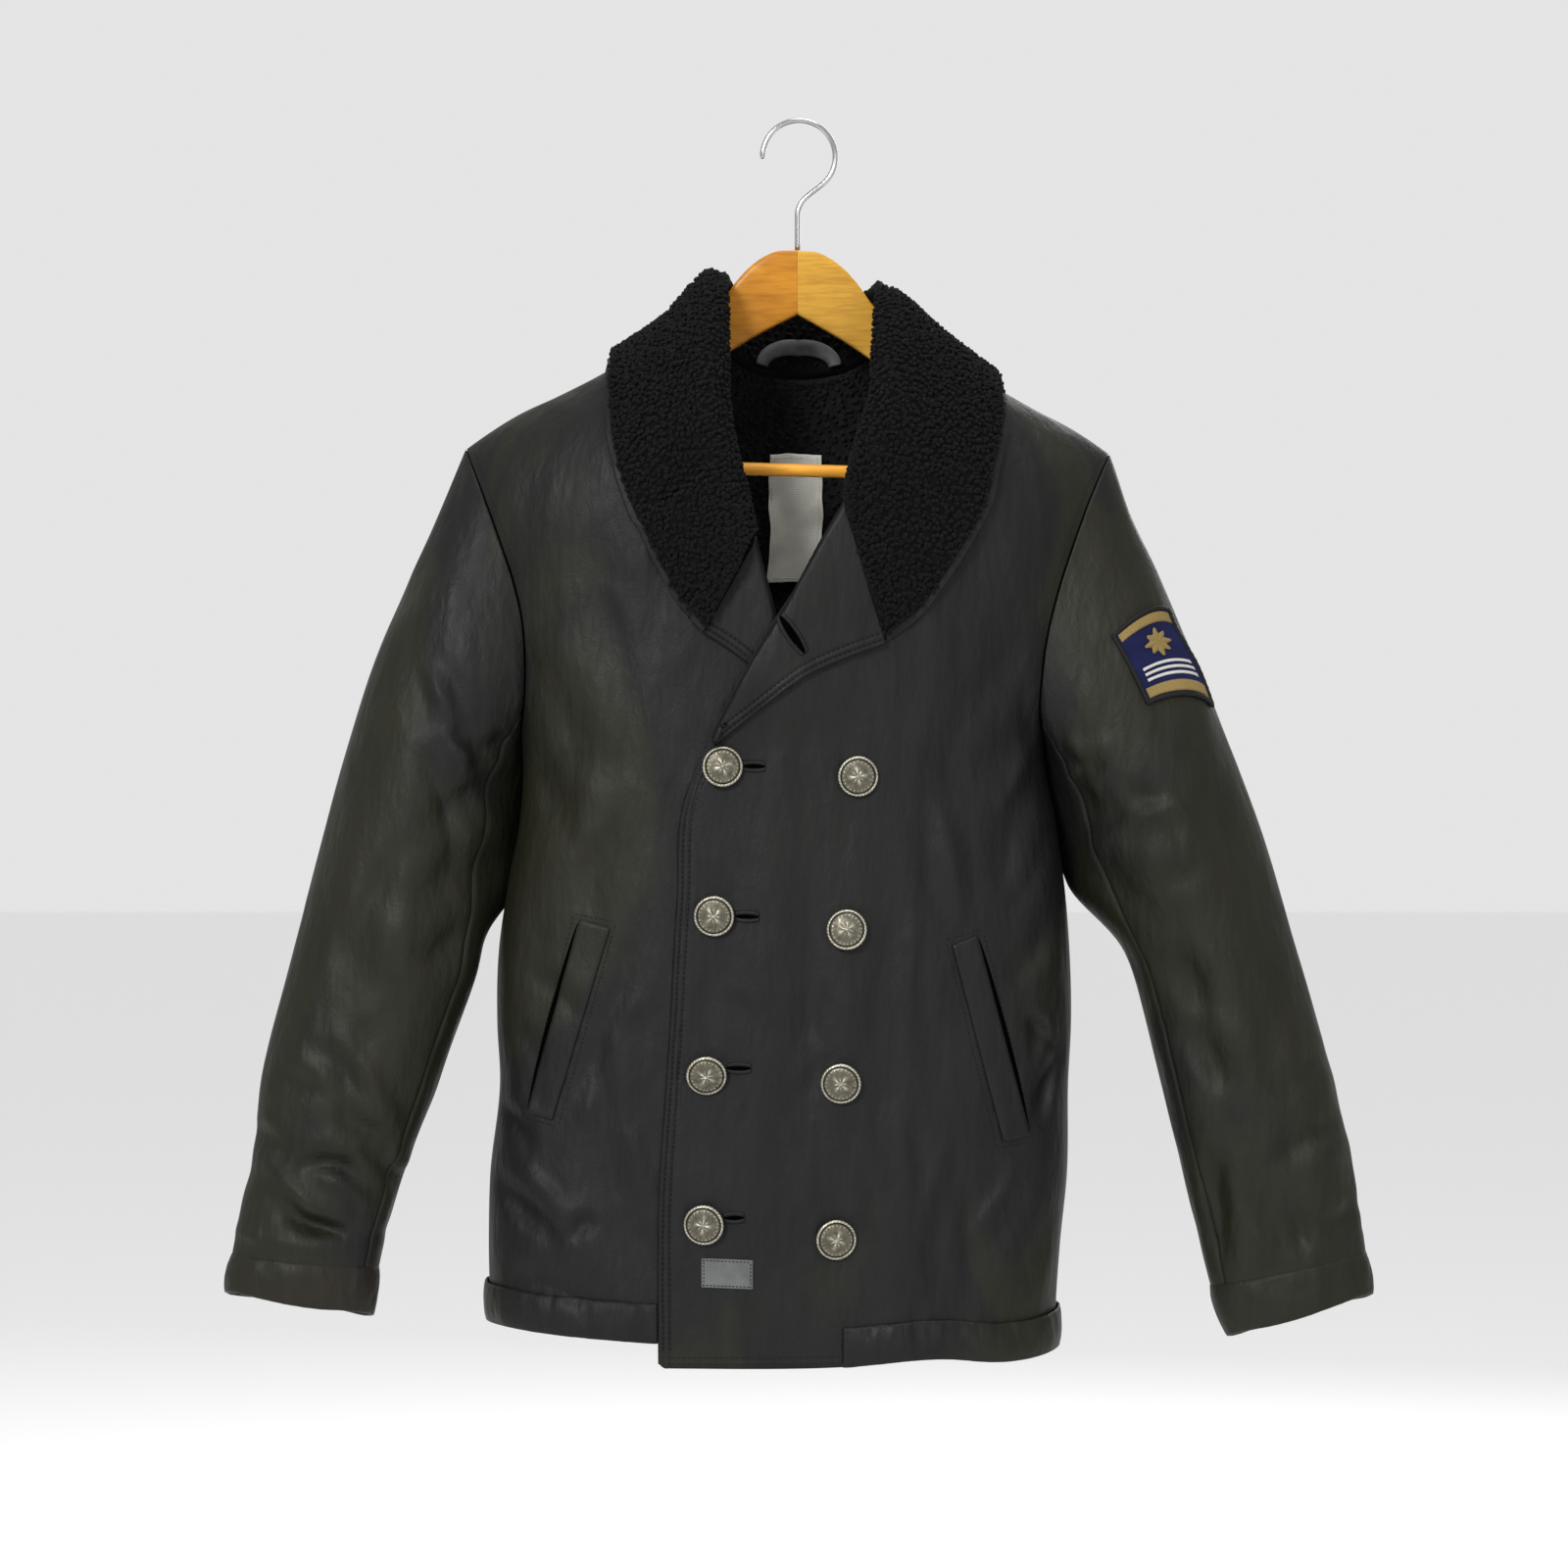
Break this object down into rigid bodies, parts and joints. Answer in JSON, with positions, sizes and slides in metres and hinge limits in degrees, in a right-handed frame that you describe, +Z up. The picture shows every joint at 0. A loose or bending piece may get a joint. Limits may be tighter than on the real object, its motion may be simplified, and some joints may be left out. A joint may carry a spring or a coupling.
{
  "type": "leather jacket on a hanger",
  "caption": "Double-breasted black leather jacket with a wide curly fleece collar, domed metal buttons, slanted pockets and a sleeve badge, hung on a wooden hanger.",
  "frame": {"origin": "underside of the top bend of the hanger's hook, where a rail carries it", "axes": "+Z up, -Y out of the jacket's front, +X towards the wearer's left"},
  "size_m": [0.8138, 0.1992, 0.8841],
  "materials": {
    "leather": "soft black leather with a satin sheen",
    "fleece": "black curly pile",
    "satin": "dark grey satin band",
    "grey_label": "woven grey label, blank",
    "cream_label": "matt cream label, blank",
    "badge": "navy woven badge with gold and white bands",
    "button_metal": "antique pewter with dark hollows",
    "wood": "varnished honey-coloured wood",
    "chrome": "bright chrome wire"
  },
  "bodies": {
    "root": {"front_right": "leather", "front_left": "leather", "back": "leather", "sleeve_top_right": "leather", "sleeve_under_right": "leather", "sleeve_top_left": "leather", "sleeve_under_left": "leather", "cuff_right": "leather", "cuff_left": "leather", "hem_right": "leather", "hem_left": "leather", "hem_back": "leather", "under_collar": "leather", "lapel_right": "leather", "lapel_left": "leather", "welt_right": "leather", "welt_left": "leather", "top_collar": "fleece", "neck_lining": "fleece", "hanging_loop": "satin", "front_label": "grey_label", "care_label": "cream_label", "sleeve_patch": "badge", "button_1": "button_metal", "button_2": "button_metal", "button_3": "button_metal", "button_4": "button_metal", "button_5": "button_metal", "button_6": "button_metal", "button_7": "button_metal", "button_8": "button_metal", "hanger_arm_right": "wood", "hanger_arm_left": "wood", "hanger_bar": "wood", "hook": "chrome"}
  },
  "joints": []
}
